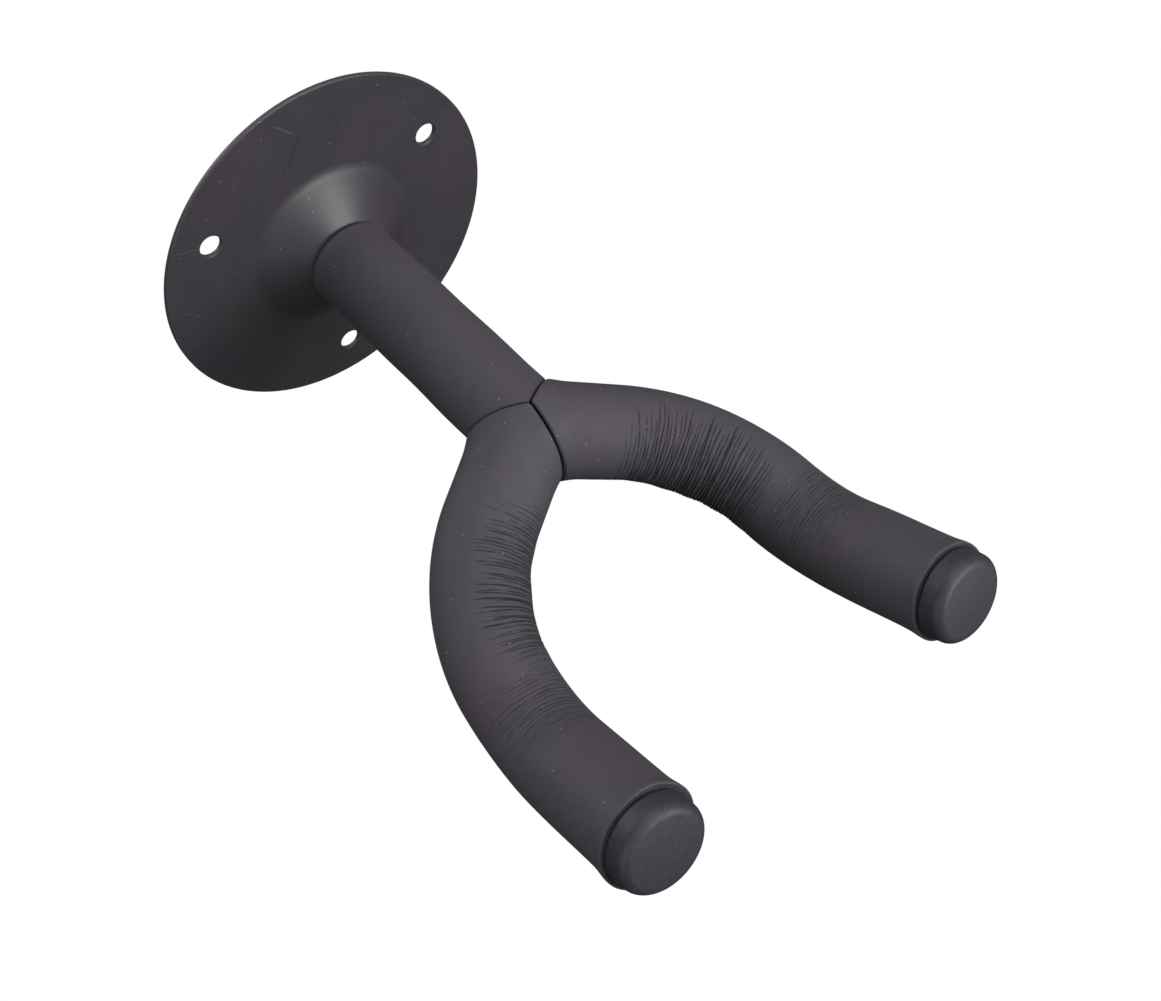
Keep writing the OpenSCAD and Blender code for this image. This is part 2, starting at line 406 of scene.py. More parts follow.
def paint_look():
    """Satin black powder coat on pressed steel: a faint orange peel, fine scratches and dust."""
    look = Look("satin_paint", Roughness=0.45, Specular_IOR_Level=0.5)
    flat = look.node("ShaderNodeMapping", Vector=look.place, Rotation=(math.pi / 2, 0, 0)).outputs[0]
    clouds = look.ramp(look.noise(26 * MM), 0.35, 0.7)
    base = look.mix(clouds, grey(0.029, 0.07), grey(0.033, 0.15))
    # A long dark hair scratch past a screw hole, and a short dent near the top of the rim whose line is
    # painted paler as a painted highlight.
    hair = scratch(look, (-0.031, 0, 0.050), 30 * MM, (-0.019, 0, 0.0225), 26 * MM, 0.15 * MM)
    dent_highlight = scratch(look, (-0.1484, 0, -0.0998), 200 * MM, (-0.007, 0, 0.0416), 4.5 * MM, 0.40 * MM)
    base = look.lay_over(base, scuffs(look, flat), 0.30, grey(0.085, 0.04))
    base = look.lay_over(base, hair, 0.70, grey(0.006))
    # Painted highlight: the dent's line is made paler in colour.
    base = look.lay_over(base, dent_highlight, 0.28, grey(0.14))
    dust = look.specks(flat, spacing=9 * MM, size=0.16 * MM, share=0.6)
    lint = look.specks(flat, spacing=3.1 * MM, size=0.07 * MM, share=0.35)
    base = look.lay_over(base, dust, 0.7, grey(0.33, 0.02))
    base = look.lay_over(base, lint, 0.45, grey(0.20, 0.02))
    look.set("Base Color", base)
    look.set("Roughness", look.ramp(look.noise(9 * MM, detail=3.0), 0.3, 0.7, 0.41, 0.50))
    orange_peel, grain = look.noise(0.9 * MM), look.noise(0.22 * MM, detail=1.0)
    look.bump(orange_peel, 0.02 * MM, 0.5)
    look.bump(grain, 0.006 * MM, 0.5)
    look.bump(look.math("MULTIPLY", look.math("MAXIMUM", hair, dent_highlight), -1.0), 0.16 * MM, 0.8)
    return look.material


def cap_look():
    """Moulded rubber: a little darker and smoother than the foam, with a fine mottled texture."""
    look = Look("cap_rubber", Roughness=0.55, Specular_IOR_Level=0.42)
    mottle = look.ramp(look.noise(1.1 * MM, detail=3.0), 0.35, 0.7)
    look.set("Base Color", look.mix(mottle, grey(0.017, 0.02, 0.25), grey(0.025, 0.03, 0.25)))
    look.bump(look.noise(0.8 * MM, detail=3.0), 0.05 * MM, 0.5)
    return look.material


def stud_look():
    """Blackened screw steel, worn to bright metal on the thread's crests."""
    look = Look("stud_steel", Metallic=0.9, Roughness=0.34)
    patches = look.ramp(look.noise(1.3 * MM), 0.3, 0.6, 0.35, 1.0)
    worn = look.math("MULTIPLY", look.attribute("crest"), patches)
    look.set("Base Color", look.mix(worn, steel(0.045), steel(0.36)))
    look.set("Roughness", look.ramp(look.noise(0.7 * MM), 0.3, 0.7, 0.26, 0.42))
    look.bump(look.noise(0.16 * MM), 0.01 * MM, 0.6)
    return look.material


def bare_steel_look():
    """The stud's sawn end: bare metal with fine marks across it."""
    look = Look("bare_steel", Metallic=1.0, Roughness=0.38)
    marks = look.noise(0.12 * MM, roughness=0.6, stretch=(0.15, 1, 1))
    look.set("Base Color", look.mix(marks, steel(0.26), steel(0.42)))
    look.bump(marks, 0.012 * MM, 0.7)
    return look.material


def rod_look():
    """Drawn steel bar under the foam, darkened by the oven and the weld."""
    look = Look("rod_steel", Metallic=0.85, Roughness=0.5)
    look.set("Base Color", look.mix(look.noise(1.8 * MM, detail=3.0), steel(0.06), steel(0.17)))
    look.bump(look.noise(0.3 * MM), 0.02 * MM, 0.5)
    return look.material


# ---- wall plate ----------------------------------------------------------------------------------
def arc(centre, radius, start, end, steps):
    """Points (radius from the axis, height) on an arc, in degrees from one angle to another."""
    a = np.radians(np.linspace(start, end, steps + 1))
    return np.stack([centre[0] + radius * np.cos(a), centre[1] + radius * np.sin(a)], axis=-1)


def screw_centres():
    """The middles of the screw holes on the plate."""
    turns = np.radians(SCREW_ANGLES)
    return [(SCREW_CIRCLE_R * math.cos(a), SCREW_CIRCLE_R * math.sin(a)) for a in turns]


def thread_wave(z, theta):
    """0 at the root and 1 at the crest of a right-handed thread, with a flat at both."""
    phase = np.mod(z / THREAD_PITCH - theta / FULL_TURN, 1.0)
    return smooth(0.5 - np.abs(phase - 0.5), 0.10, 0.42)


def sheet_wave(points):
    """How far the pressed sheet of the rim is out of flat, which shows only in its reflections."""
    x, y = points[:, 0], points[:, 1]
    height = 0.05 * MM
    slow = np.sin(x / (17 * MM) + 0.7) * np.cos(y / (21 * MM) - 0.4)
    return height * slow * smooth(np.hypot(x, y), DOME_BASE_R, 0.8 * PLATE_R)


def rim_sheet(height, inner_r, faces_out):
    """One flat face of the rim, as points and triangles: an annulus with the screw holes in it. Rings of
    loose points inside it let the sheet be slightly out of flat."""
    outer_r = PLATE_R - SHEET_EDGE
    hole_r = SCREW_HOLE_R + SHEET_EDGE
    near_edge = 0.3 * MM
    clearance = 1.2 * MM
    joined = 1e-7
    centres = screw_centres()
    points, edges = [], []

    def ring(centre, radius, count, linked=True):
        first = len(points)
        a = angles_round(count)
        points.extend(zip(centre[0] + radius * np.cos(a), centre[1] + radius * np.sin(a)))
        if linked:
            edges.extend((first + i, first + (i + 1) % count) for i in range(count))

    def clear_of_holes(point, distance):
        return all(math.dist(point, c) > distance for c in centres)

    ring((0, 0), inner_r, RIM_COLUMNS)
    ring((0, 0), outer_r, RIM_COLUMNS)
    for c in centres:
        ring(c, hole_r, HOLE_COLUMNS)
    loose = len(points)
    for r in (inner_r + near_edge, outer_r - near_edge):
        ring((0, 0), r, RIM_COLUMNS, linked=False)
    for r in np.linspace(inner_r, outer_r, 12)[1:-1]:
        ring((0, 0), r, RIM_COLUMNS // 2, linked=False)
    points[loose:] = [p for p in points[loose:] if clear_of_holes(p, hole_r + clearance)]
    for c in centres:
        ring(c, hole_r + near_edge, HOLE_COLUMNS, linked=False)

    vectors = [Vector(p) for p in points]
    at, _, triangles, *_ = geometry.delaunay_2d_cdt(vectors, edges, [], 0, joined)
    at = np.array([tuple(p) for p in at])
    kept = []
    for t in triangles:
        middle = at[list(t)].mean(axis=0)
        if np.hypot(*middle) > 0.9995 * inner_r and clear_of_holes(middle, 0.998 * hole_r):
            kept.append(tuple(t) if faces_out else tuple(reversed(t)))
    return np.column_stack([at, height + sheet_wave(at)]), kept


def dome_section(theta):
    """The sheet's section over the dome, as (radius, height) at each angle: from the foot of its front up
    over the dished top, down the collar's thread, and back along the underside to the foot."""
    front = PLATE_T + DOME_H
    back = front - PLATE_T
    slope = math.degrees(math.atan2(DOME_H, DOME_BASE_R - DOME_TOP_R))
    half = math.tan(math.radians(slope / 2))
    base_centre = (DOME_BASE_R + BASE_FILLET * half, PLATE_T + BASE_FILLET)
    top_centre = (DOME_TOP_R - TOP_FILLET * half, front - TOP_FILLET)
    dish, dish_run = 0.25 * MM, 2.2 * MM
    mouth = THREAD_R + 0.08 * MM
    mouth_round = 1.1 * MM
    collar_back = front - COLLAR_LENGTH
    collar_fillet = 0.5 * MM
    thread_rows = 56

    top_r = np.linspace(top_centre[0] - 0.5 * MM, mouth + mouth_round + 0.35 * MM, 8)
    top_z = front - dish * smooth(top_centre[0] - top_r, 0, dish_run)
    outer = np.concatenate([
        arc(base_centre, BASE_FILLET, 270, 270 - slope, 14),
        arc(top_centre, TOP_FILLET, 90 - slope, 90, 10),
        np.column_stack([top_r, top_z]),
        arc((mouth + mouth_round, front - dish - mouth_round), mouth_round, 90, 180, 8),
    ])
    inner = np.concatenate([
        [(mouth, collar_back + 0.02 * MM)],
        [(COLLAR_R - 0.2 * MM, collar_back), (COLLAR_R, collar_back + 0.3 * MM)],
        arc((COLLAR_R + collar_fillet, back - collar_fillet), collar_fillet, 180, 90, 5),
        arc(top_centre, TOP_FILLET - PLATE_T, 90, 90 - slope, 8),
        arc(base_centre, BASE_FILLET + PLATE_T, 270 - slope, 270, 12),
    ])
    # The thread is cut into the collar's bore, and fades in and out at its ends.
    thread_z = np.linspace(outer[-1][1] - 0.04 * MM, collar_back + 0.25 * MM, thread_rows)
    fade_in = smooth(thread_z[0] - thread_z, 0, 0.6 * MM)
    fade_out = smooth(thread_z - thread_z[-1], 0, 0.4 * MM)
    rows = [np.tile(p, (len(theta), 1)) for p in outer]
    for z, share in zip(thread_z, fade_in * fade_out):
        depth = (THREAD_R - THREAD_ROOT_R) * (1 - thread_wave(z, theta)) * share
        rows.append(np.column_stack([mouth - depth, np.full(len(theta), z)]))
    rows += [np.tile(p, (len(theta), 1)) for p in inner]
    return np.stack(rows)


def rolled_edge(centre, radius, inward, count):
    """The cut edge of the sheet, eased at both corners: the rim's, or a hole's where inward is -1."""
    edge = np.concatenate([
        arc((0, PLATE_T - SHEET_EDGE), SHEET_EDGE, 90, 0, 5),
        arc((0, SHEET_EDGE), SHEET_EDGE, 0, -90, 5),
    ])
    a = angles_round(count)
    r = radius + inward * (edge[:, :1] - SHEET_EDGE)
    z = np.repeat(edge[:, 1:], count, axis=1)
    at = np.stack([centre[0] + r * np.cos(a), centre[1] + r * np.sin(a), z], axis=-1).reshape(-1, 3)
    at[:, 2] += sheet_wave(at)
    return at, grid_faces(len(edge), count, flip=inward > 0)


def add_plate(material):
    """The wall plate: one closed sheet with a dome, a threaded collar and three screw holes."""
    theta = angles_round(RIM_COLUMNS)
    section = dome_section(theta)
    r, z = section[..., 0], section[..., 1]
    dome = np.stack([r * np.cos(theta), r * np.sin(theta), z], axis=-1)
    patches = [
        (dome.reshape(-1, 3), grid_faces(len(section), RIM_COLUMNS)),
        rim_sheet(PLATE_T, r[0, 0], True),
        rim_sheet(0.0, r[-1, 0], False),
        rolled_edge((0, 0), PLATE_R, 1, RIM_COLUMNS),
    ]
    patches += [rolled_edge(c, SCREW_HOLE_R, -1, HOLE_COLUMNS) for c in screw_centres()]
    faces, first = [], 0
    for points, patch_faces in patches:
        faces += [tuple(first + i for i in face) for face in patch_faces]
        first += len(points)
    plate = add_mesh("plate_sheet", np.concatenate([p for p, _ in patches]), faces, [material])
    join_seams(plate)
    return ride(plate, "plate", "black_paint", "wall_plate")


def join_seams(obj, distance=2e-6):
    """Joins the points of neighbouring patches where they meet."""
    bm = bmesh.new()
    bm.from_mesh(obj.data)
    bmesh.ops.remove_doubles(bm, verts=bm.verts, dist=distance)
    bmesh.ops.recalc_face_normals(bm, faces=bm.faces)
    bm.to_mesh(obj.data)
    bm.free()
    obj.data.polygons.foreach_set("use_smooth", [True] * len(obj.data.polygons))
    obj.data.update()


# ---- stud ----------------------------------------------------------------------------------------
def add_stud(thread, bare):
    """The threaded stud, from its chamfered tip to its buried end. Its tip is bare metal."""
    columns = 96
    row_step = 0.055 * MM
    tip = FOAM_START - STUD_REACH
    length = STUD_REACH + STEEL_RECESS + STUD_DEPTH
    z, theta = np.meshgrid(np.arange(0, length, row_step), angles_round(columns), indexing="ij")
    chamfer = THREAD_R - 0.75 * MM + 0.9 * z
    radius = THREAD_ROOT_R + (THREAD_R - THREAD_ROOT_R) * thread_wave(z + tip, theta)
    radius = np.minimum(radius, chamfer)
    worn = smooth(radius, THREAD_R - 0.22 * MM, THREAD_R)
    side = np.stack([radius * np.cos(theta), radius * np.sin(theta), z + tip], axis=-1)

    # Rings that close the sawn tip, and the end that is buried in the shank.
    sawn = [side[0] * (r, r, 1) for r in np.linspace(0.02, 1, 9)[:-1]]
    buried = [side[-1] * (r, r, 1) for r in (0.6, 0.1)]
    grid = np.concatenate([sawn, side, buried])
    faces = grid_faces(len(grid), columns) + end_faces(len(grid), columns)
    slots = np.zeros(len(faces), int)
    slots[:len(sawn) * columns] = 1
    slots[-2] = 1  # the face that closes the tip
    stud = add_mesh("stud_thread", grid.reshape(-1, 3), faces, [thread, bare], slots.tolist(), sharp=50)
    shine = [np.ones((len(sawn), columns)), worn, np.zeros((len(buried), columns))]
    add_field(stud, "crest", np.concatenate(shine))
    return ride(stud, "yoke", "stud_steel", "threaded_stud")


# ---- foam ----------------------------------------------------------------------------------------
def creases(rng, s, theta, start, end, towards, count, depth, reach):
    """Fine folds across the hollow side of a bend, from 0 on the skin to depth. Each runs part of the way
    round, wanders along the tube and fades out at both ends, so that they break off and run together."""
    fold = np.zeros(s.shape)
    middle, half = (start + end) / 2, (end - start) / 2
    shared_k = rng.uniform(1.5, 3.5, 3)
    shared_phase = rng.uniform(0, FULL_TURN, 3)
    shared_sway, drift = 0.15 * MM, 7 * MM
    window = 2.2 * MM
    for i in range(count):
        # Where the fold lies and how far round it goes. Folds near the ends of the band are weaker.
        at = start + (end - start) * (i + 0.5 + rng.uniform(-0.18, 0.18)) / count
        strength = 1 - 0.9 * abs((at - middle) / half) ** 3
        centre = rng.normal(0, 0.05 * reach)
        width = reach * rng.uniform(0.84, 1.0) * (0.6 + 0.4 * strength)
        # How it wanders: a slant, and a sway of its own on top of the slowly drifting one that all share.
        tilt = rng.normal(0, 0.18 * MM)
        sway = rng.uniform(0.05, 0.15) * MM
        k = rng.uniform(2.5, 7)
        phase = rng.uniform(0, FULL_TURN)
        # How deep and how wide the groove is.
        deep = depth * strength * rng.uniform(0.7, 1.1)
        thin = rng.uniform(0.26, 0.38) * MM
        rows = np.flatnonzero(np.abs(s[:, 0] - at) < window)
        if not len(rows):
            continue
        part = slice(rows[0], rows[-1] + 1)
        off = np.mod(theta[part] - towards - centre + math.pi, FULL_TURN) - math.pi
        shared = sum(np.sin(n * off + p + at / drift) for n, p in zip(shared_k, shared_phase))
        line = at + tilt * off + shared_sway * shared + sway * np.sin(k * off + phase)
        taper = np.clip(1 - (off / width) ** 2, 0, 1) ** 0.45
        breaks = 0.60 + 0.40 * smooth(np.sin(1.9 * k * off + 2 * phase), -1.0, -0.3)
        across = np.clip(1 - np.abs(s[part] - line) / thin, 0, 1) ** 1.3
        fold[part] = np.maximum(fold[part], deep * taper * breaks * across)
    return fold


def add_unrolled(obj, s, columns, flip):
    """Where each face's corners lie on the skin laid out flat, in metres, for the material to read."""
    around = np.append(columns, columns[0] + FULL_TURN) * FOAM_R
    flat = np.stack([np.append(s, s[:, :1], axis=1), np.tile(around, (len(s), 1))], axis=-1)
    above = np.roll(flat, -1, axis=0)
    corners = [flat[:, :-1], flat[:, 1:], above[:, 1:], above[:, :-1]]
    if flip:
        corners.reverse()
    corners = np.stack(corners, axis=2).reshape(-1, 2)
    vectors = np.column_stack([corners, np.zeros(len(corners))]).astype(np.float32)
    layer = obj.data.attributes.new("unrolled", "FLOAT_VECTOR", "CORNER")
    layer.data.foreach_set("vector", vectors.ravel())


def tube(name, line, columns, parts, materials, flip, fields):
    """A closed foam tube. parts are its rows, in four lists: from the bore over one end, along the skin,
    over the other end, and back along the bore. A row is a distance and a radius, each a number or an
    array over the columns. fields are values over the skin for the material to read."""
    head, skin, tail, bore = parts
    rows = head + skin + tail + bore
    s = np.stack([np.broadcast_to(distance, columns.shape) for distance, _ in rows])
    radius = np.stack([np.broadcast_to(r, columns.shape) for _, r in rows])
    at = around_line(line, s, radius, columns)
    faces = grid_faces(len(rows), len(columns), closed_rows=True, flip=flip)
    # The eased edges have the skin's material. The cut faces and the bore have the second one.
    first_skin = len(head) - len(EASE_ANGLES) - 1
    last_skin = len(head) + len(skin) + len(EASE_ANGLES)
    row = np.repeat(np.arange(len(rows)), len(columns))
    slots = np.where((row >= first_skin) & (row < last_skin), 0, 1)
    obj = add_mesh(name, at.reshape(-1, 3), faces, materials, slots.tolist())
    for field, values in fields.items():
        whole = np.zeros(s.shape)
        whole[len(head):len(head) + len(skin)] = values
        add_field(obj, field, whole)
    add_unrolled(obj, s, columns, flip)
    return obj


def end_rows(cut, radius, easing, outwards, bore, rough):
    """Rows over a cut end, from the bore to the skin: a ring of the face for each row of rough, then the
    eased edge. cut gives the distance along the tube at which a ring of some radius is cut. outwards is
    1, or -1 at a tube's start."""
    rows = []
    for i, share in enumerate(np.linspace(0, 1, len(rough))):
        ring = bore + (radius - easing - bore) * share
        lift = rough[i] if 0 < i < len(rough) - 1 else 0
        rows.append((cut(ring) + lift, ring))
    for a in EASE_ANGLES:
        ring = radius - easing * (1 - math.sin(a))
        rows.append((cut(ring) - outwards * easing * (1 - math.cos(a)), ring))
    return rows


def near(distance, width):
    """1 at no distance, fading out over about the width."""
    return np.exp(-((distance / width) ** 2))


def plane_cut(line_start, basis, columns, normal, gap):
    """Where a plane through the junction, moved by gap along its normal, cuts a straight tube: a function
    from the radius of a ring to distances along the tube."""
    across = np.cos(columns)[:, None] * basis[:, 0] + np.sin(columns)[:, None] * basis[:, 1]
    offset = np.dot(line_start - np.array([0, 0, JUNCTION]), normal)
    return lambda radius: (gap - offset - radius * (across @ normal)) / np.dot(basis[:, 2], normal)


def arm_basis(side=RIGHT):
    """The axes at an arm's start, the third along it."""
    basis = turn_y(ARM_SPREAD) @ turn_x(ARM_DIP)
    return basis if side > 0 else np.diag([-1, 1, 1]) @ basis


def mitre_normal(side=RIGHT):
    """The normal of the plane in which an arm's sleeve meets the shank's."""
    normal = arm_basis(side)[:, 2] + np.array([0, 0, 1.0])
    return normal / np.linalg.norm(normal)


def spread_columns(count, dense_at, share):
    """Angles round a tube, set closer together on the side at dense_at."""
    u = angles_round(count)
    return u + dense_at - share * np.sin(u)


def arm_line(side):
    """The centre line of an arm, as a function of the distance along it."""
    runs = [
        (RUN_IN, None, 0),
        (BEND1_LENGTH, BEND1_R, 0),
        (RUN_MID, None, 0),
        (BEND2_LENGTH, BEND2_R, -BEND_TWIST),
        (RUN_OUT, None, 0),
    ]
    mirror = np.array([side, 1.0, 1.0])

    def line(distance):
        point, axes = along(distance, np.array([0, 0, JUNCTION]), arm_basis(), runs)
        return point * mirror, axes * mirror[:, None]

    return line


def arm_rows(start_edge, end_edge, count):
    """Distances along an arm for the rows of its skin. They follow the cut edges at both ends, and lie
    closest together where the skin is creased. From steady to tip_start they are level."""
    steady = 13 * MM
    crease_start = BEND1_START - 6 * MM
    crease_end = BEND2_START + 3 * MM
    tip_zone = LAST_RUN + 6 * MM
    tip_start = ARM_FOAM_END - 6 * MM
    levels = np.concatenate([
        np.arange(steady, crease_start, 0.6 * MM),
        np.arange(crease_start, crease_end, 0.125 * MM),
        np.arange(crease_end, tip_zone, 0.17 * MM),
        np.arange(tip_zone, tip_start, 0.8 * MM),
    ])
    rows = [start_edge + (steady - start_edge) * t for t in np.linspace(0, 1, 24)[1:-1]]
    rows += [np.full(count, v) for v in levels]
    rows += [tip_start + (end_edge - tip_start) * t for t in np.linspace(0, 1, 15)[:-1]]
    return np.stack(rows)


def in_hollows(s, theta):
    """How much a place lies on the hollow side of each bend, from 0 to 1."""
    facing1 = smooth(np.cos(theta - HOLLOW1), -0.25, 0.75)
    facing2 = smooth(np.cos(theta - HOLLOW2), 0.0, 0.85)
    into_bend1 = smooth(s, BEND1_START - 5 * MM, BEND1_START + 8 * MM)
    past_bend1 = smooth(s, BEND2_START - 8 * MM, BEND2_START + 3 * MM)
    into_bend2 = smooth(s, BEND2_START - 3 * MM, BEND2_START + 6 * MM)
    past_bend2 = smooth(s, LAST_RUN - 2 * MM, LAST_RUN + 7 * MM)
    return into_bend1 * (1 - past_bend1) * facing1, into_bend2 * (1 - past_bend2) * facing2


def arm_folds(rng, s, theta, depth):
    """The creases over both bends: in each, a main band and a shallower one among it."""
    # Start, end, side, number of folds, share of the depth, and how far round they go, in degrees.
    bands = (
        (BEND1_START - 5 * MM, BEND2_START + 1 * MM, HOLLOW1, 46, 1.0, 98),
        (BEND1_START - 2 * MM, BEND2_START - 1 * MM, HOLLOW1, 18, 0.5, 80),
        (BEND2_START - 3 * MM, LAST_RUN + 4 * MM, HOLLOW2, 22, 0.5, 78),
        (BEND2_START - 1 * MM, LAST_RUN + 2 * MM, HOLLOW2, 20, 0.3, 60),
    )
    fold = np.zeros(s.shape)
    for start, end, towards, count, share, reach in bands:
        found = creases(rng, s, theta, start, end, towards, count, share * depth, math.radians(reach))
        fold = np.maximum(fold, found)
    return fold


def add_arm_sleeve(side, materials, seed):
    """The foam on one arm, from its mitres at the junction to the cap. The left one is mirrored."""
    rng = np.random.default_rng(seed)
    between_hollows = HOLLOW1 - 0.45
    columns = spread_columns(136, between_hollows, 0.5)
    basis = arm_basis()
    origin = np.array([0, 0, JUNCTION])
    mitre_gap = 0.10 * MM
    shank_cut = plane_cut(origin, basis, columns, mitre_normal(), mitre_gap)
    twin_cut = plane_cut(origin, basis, columns, np.array([1.0, 0, 0]), mitre_gap)
    ragged = 0.13 * MM * (1.2 + ripples(rng, 0, columns, 7, 1, 6))

    def start_cut(radius):
        return np.maximum(shank_cut(radius), twin_cut(radius)) + ragged * (radius / FOAM_R) ** 2

    def end_cut(radius):
        return ARM_FOAM_END + 0.02 * radius * np.cos(columns + 0.8)

    start_ease, end_ease = 0.6 * MM, 0.35 * MM
    s = arm_rows(start_cut(FOAM_R) + start_ease, end_cut(FOAM_R) - end_ease, len(columns))
    theta = np.broadcast_to(columns, s.shape)
    hollow1, hollow2 = in_hollows(s, theta)
    # The skin is a little uneven, more so inside the first bend, and the folds are sunk into it.
    radius = np.full(s.shape, FOAM_R)
    radius += 0.10 * MM * ripples(rng, s, theta, 7, 26 * MM, 2)
    radius += 0.11 * MM * hollow1 * ripples(rng, s, theta, 9, 8 * MM, 3)
    depth, sunk = 0.46 * MM, 0.70
    fold = arm_folds(rng, s, theta, depth)
    radius -= sunk * fold
    # At both ends a lip flares out, more in some places round the tube than in others.
    start_lip = near(s - start_cut(FOAM_R), 3.2 * MM)
    end_lip = near(ARM_FOAM_END - s, 3.0 * MM)
    radius += 0.50 * MM * start_lip * (1 + 0.5 * ripples(rng, 0 * s, theta, 5, 1, 4))
    radius += 0.40 * MM * end_lip * (1 + 0.7 * ripples(rng, 0 * s, theta, 8, 1, 8))

    face_rings = 7
    rough = rng.normal(0, 0.05 * MM, (2 * face_rings, len(columns)))
    head = end_rows(start_cut, radius[0], start_ease, -1, BORE_R, rough[:face_rings])
    tail = end_rows(end_cut, radius[-1], end_ease, 1, BORE_R, rough[face_rings:])[::-1]
    bore = [(v, BORE_R) for v in np.linspace(ARM_FOAM_END - 1 * MM, 15 * MM, 15)]
    parts = (head, list(zip(s, radius)), tail, bore)
    fields = {
        # How much the foam's colour is darkened in the folds: painted shade.
        "crease_shade": smooth(fold, 0.07 * depth, 0.40 * depth),
        "bent": np.maximum(hollow1, 0.6 * hollow2),
    }
    name = "arm_foam_right" if side > 0 else "arm_foam_left"
    obj = tube(name, arm_line(side), columns, parts, materials, side > 0, fields)
    return ride(obj, "yoke", "foam", "arm_sleeve_right" if side > 0 else "arm_sleeve_left")


def add_shank_sleeve(materials, seed):
    """The foam on the shank, from its dished cut at the wall to its two mitres at the junction."""
    rng = np.random.default_rng(seed)
    columns = angles_round(144)
    mitre_gap = 0.10 * MM
    cuts = [
        plane_cut(np.zeros(3), np.eye(3), columns, mitre_normal(side), -mitre_gap)
        for side in (RIGHT, LEFT)
    ]
    skew = 0.012 * np.cos(columns - 1.1) + 0.006 * np.cos(2 * columns)

    def far_cut(radius):
        return np.minimum(cuts[0](radius), cuts[1](radius))

    def near_cut(radius):
        dish = 0.35 * MM * smooth(FOAM_R - radius, 2 * MM, 7 * MM)
        return FOAM_START + (skew - skew.min()) * radius + dish

    near_ease, far_ease = 0.5 * MM, 0.7 * MM
    near_limit, steady = FOAM_START + 6 * MM, JUNCTION - 15 * MM
    near_edge = near_cut(FOAM_R) + near_ease
    far_edge = far_cut(FOAM_R) - far_ease
    skin_s = [near_edge + (near_limit - near_edge) * t for t in np.linspace(0, 1, 14)[1:]]
    skin_s += [np.full(len(columns), v) for v in np.arange(near_limit, steady, 0.7 * MM)[1:]]
    skin_s += [steady + (far_edge - steady) * t for t in np.linspace(0, 1, 30)[:-1]]
    s = np.stack(skin_s)
    theta = np.broadcast_to(columns, s.shape)
    radius = np.full(s.shape, FOAM_R)
    radius += 0.12 * MM * ripples(rng, s, theta, 8, 22 * MM, 2)
    near_lip = near(s - FOAM_START, 2.4 * MM)
    far_lip = near(far_cut(FOAM_R) - s, 3.0 * MM)
    radius += 0.35 * MM * near_lip * (1 + 0.5 * ripples(rng, 0 * s, theta, 4, 1, 3))
    radius += 0.15 * MM * far_lip * ripples(rng, 0 * s, theta, 4, 1, 3)

    near_rings, far_rings = 18, 7
    rough = rng.normal(0, 0.06 * MM, (near_rings + far_rings, len(columns)))
    mouth = BORE_R + 0.3 * MM
    head = end_rows(near_cut, radius[0], near_ease, -1, mouth, rough[:near_rings])
    tail = end_rows(far_cut, radius[-1], far_ease, 1, BORE_R, rough[near_rings:])[::-1]
    bore = [(v, BORE_R) for v in np.linspace(JUNCTION - 14 * MM, FOAM_START + 3 * MM, 10)]
    parts = (head, list(zip(s, radius)), tail, bore)
    fields = {"crease_shade": np.zeros(s.shape), "bent": np.zeros(s.shape)}

    def line(distance):
        return along(distance, np.zeros(3), np.eye(3), [(JUNCTION, None, 0)])

    obj = tube("shank_foam", line, columns, parts, materials, True, fields)
    return ride(obj, "yoke", "foam", "shank_sleeve")


# ---- end caps ------------------------------------------------------------------------------------
def add_cap(side, material, seed):
    """A moulded cap over a rod's end: a slightly tapered skirt, a rounded edge and a crowned face."""
    rng = np.random.default_rng(seed)
    columns = 128
    crown = 0.40 * MM
    taper = 0.15 * MM
    corner = 0.35 * MM
    floor = 2.2 * MM
    bore = ROD_R + 0.1 * MM
    face_edge = CAP_R - taper - CAP_EDGE
    shoulder = CAP_LENGTH - crown - CAP_EDGE
    outline = np.concatenate([
        [(bore, CAP_LENGTH - floor), (bore, corner), (bore + corner, 0), (CAP_R - 2 * corner, 0)],
        arc((CAP_R - corner, corner), corner, -90, 0, 4),
        [(CAP_R - taper * t, corner + (shoulder - corner) * t) for t in np.linspace(0.12, 0.92, 8)],
        arc((face_edge, shoulder), CAP_EDGE, 0, 86, 12),
        [(face_edge * t, CAP_LENGTH - crown * t**2) for t in np.linspace(0.96, 0.02, 14)],
    ])
    theta = angles_round(columns)
    r = np.repeat(outline[:, :1], columns, axis=1)
    z = np.repeat(outline[:, 1:], columns, axis=1)
    # Only the skirt and the outer part of the face are uneven.
    outside = (r > bore + 1 * MM) & (z > 0.2 * MM)
    uneven = 0.05 * MM * ripples(rng, z, theta + 0 * z, 6, 8 * MM, 4)
    r = r + np.where(outside, uneven, 0)
    at = around_line(arm_line(side), ARM_END - CAP_LENGTH + z, r, theta)
    ends = end_faces(len(outline), columns)
    if side < 0:
        ends = [tuple(reversed(f)) for f in ends]
    faces = grid_faces(len(outline), columns, flip=side < 0) + ends
    name = "arm_cap_right" if side > 0 else "arm_cap_left"
    cap = add_mesh(name, at.reshape(-1, 3), faces, [material], sharp=60)
    return ride(cap, "yoke", "cap_rubber", "end_cap_right" if side > 0 else "end_cap_left")


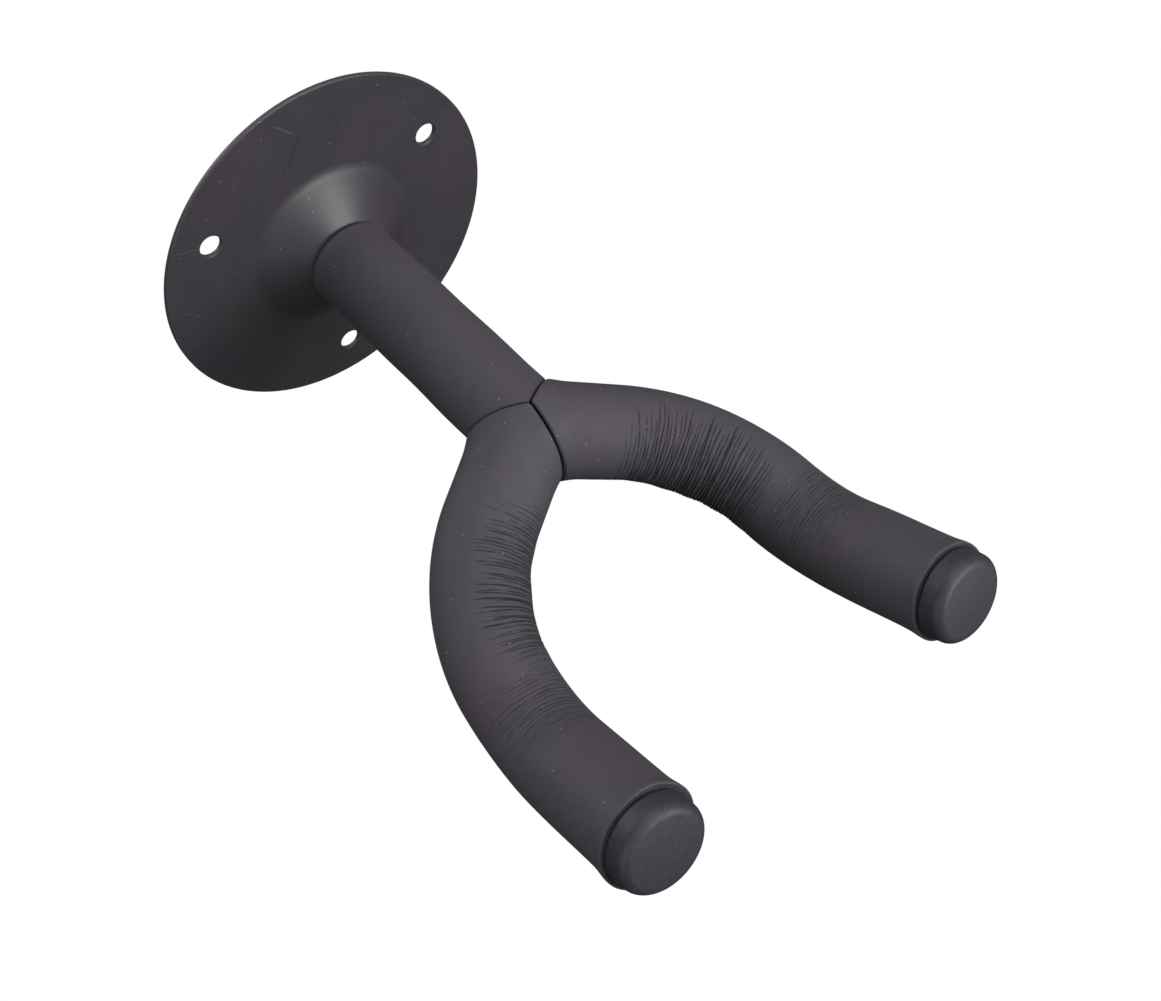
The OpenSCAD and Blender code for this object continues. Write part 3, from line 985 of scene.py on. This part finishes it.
# ---- stage ---------------------------------------------------------------------------------------
def add_floor():
    """A plain pale floor that looks evenly lit and throws no light back, so that undersides stay dark."""
    size, drop = 6.0, 0.32  # half its width, and how far below the plate's centre it lies
    mesh = bpy.data.meshes.new("floor")
    corners = [(-size, -size, -drop), (size, -size, -drop), (size, size, -drop), (-size, size, -drop)]
    mesh.from_pydata(corners, [], [(0, 1, 2, 3)])
    look = Look("floor_white", Base_Color=(0, 0, 0, 1), Roughness=1.0, Specular_IOR_Level=0.0)
    look.shader.inputs["Emission Color"].default_value = (1, 1, 1, 1)
    look.shader.inputs["Emission Strength"].default_value = 1.0
    mesh.materials.append(look.material)
    floor = bpy.data.objects.new("floor", mesh)
    floor.visible_diffuse = False
    floor.visible_glossy = False
    bpy.context.scene.collection.objects.link(floor)


def add_light(name, place, aim, size, power):
    """A soft rectangular light, aimed at a point."""
    data = bpy.data.lights.new(name, "AREA")
    data.shape, data.size, data.size_y = "RECTANGLE", size[0], size[1]
    data.energy = power
    obj = bpy.data.objects.new(name, data)
    obj.location = place
    obj.rotation_mode = "QUATERNION"
    obj.rotation_quaternion = (Vector(aim) - Vector(place)).to_track_quat("-Z", "Y")
    bpy.context.scene.collection.objects.link(obj)


def add_lights():
    middle = (0, -0.09, 0)
    add_light("key", (0.20, -0.60, 1.10), middle, (1.0, 1.0), 9)
    add_light("top", (0.25, 0.30, 1.00), middle, (0.6, 0.6), 2.5)
    add_light("front", (0.55, -1.40, 0.35), middle, (0.7, 0.6), 18)
    add_light("left", (-1.20, -0.70, 0.25), middle, (0.5, 0.5), 4)
    add_light("back", (-0.50, 1.30, 0.60), middle, (0.7, 0.7), 9)


def add_world():
    """Light from all round that fades from above to below. The camera sees it as plain white."""
    world = bpy.data.worlds.new("studio")
    world.use_nodes = True
    nodes, links = world.node_tree.nodes, world.node_tree.links
    direction = nodes.new("ShaderNodeTexCoord")
    height = nodes.new("ShaderNodeSeparateXYZ")
    fade = nodes.new("ShaderNodeMapRange")
    below, above = 0.03, 0.35
    for socket, value in enumerate((-1.0, 1.0, below, above), start=1):
        fade.inputs[socket].default_value = value
    seen = nodes.new("ShaderNodeLightPath")
    strength = nodes.new("ShaderNodeMath")
    strength.operation = "MAXIMUM"
    links.new(direction.outputs["Generated"], height.inputs[0])
    links.new(height.outputs["Z"], fade.inputs[0])
    links.new(fade.outputs[0], strength.inputs[0])
    links.new(seen.outputs["Is Camera Ray"], strength.inputs[1])
    background = nodes["Background"]
    background.inputs["Color"].default_value = (1, 1, 1, 1)
    links.new(strength.outputs[0], background.inputs["Strength"])
    bpy.context.scene.world = world


def add_camera():
    """The camera, at the photograph's viewing angle."""
    azimuth, elevation = math.radians(-40), math.radians(54)
    aim, distance = Vector((-0.002, -0.107, -0.004)), 0.34
    back = Vector((
        math.sin(azimuth) * math.cos(elevation),
        -math.cos(azimuth) * math.cos(elevation),
        math.sin(elevation),
    ))
    data = bpy.data.cameras.new("camera")
    data.lens = 44.7
    data.dof.use_dof = False
    camera = bpy.data.objects.new("camera", data)
    camera.rotation_mode = "QUATERNION"
    camera.rotation_quaternion = (-back).to_track_quat("-Z", "Y")
    camera.location = aim + back * distance
    bpy.context.scene.collection.objects.link(camera)
    bpy.context.scene.camera = camera


# ---- the hanger ----------------------------------------------------------------------------------
bpy.context.scene.view_settings.view_transform = "Standard"
add_camera()
add_lights()
add_world()
add_floor()

cut_foam = cut_foam_look()
add_plate(paint_look())
add_stud(stud_look(), bare_steel_look())
add_shank_sleeve([foam_look("foam_shank", shift=0.0), cut_foam], seed=11)
add_arm_sleeve(RIGHT, [foam_look("foam_right", shift=0.37), cut_foam], seed=23)
add_arm_sleeve(LEFT, [foam_look("foam_left", shift=0.71), cut_foam], seed=37)
cap_rubber = cap_look()
add_cap(RIGHT, cap_rubber, seed=5)
add_cap(LEFT, cap_rubber, seed=6)

# The rods and the weld are the CAD's own pieces, with a finish of their own.
rod_steel = rod_look()
for node in ("shank_rod", "arm_rod_left", "arm_rod_right", "junction_weld"):
    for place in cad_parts[node].material_slots:
        place.material = rod_steel
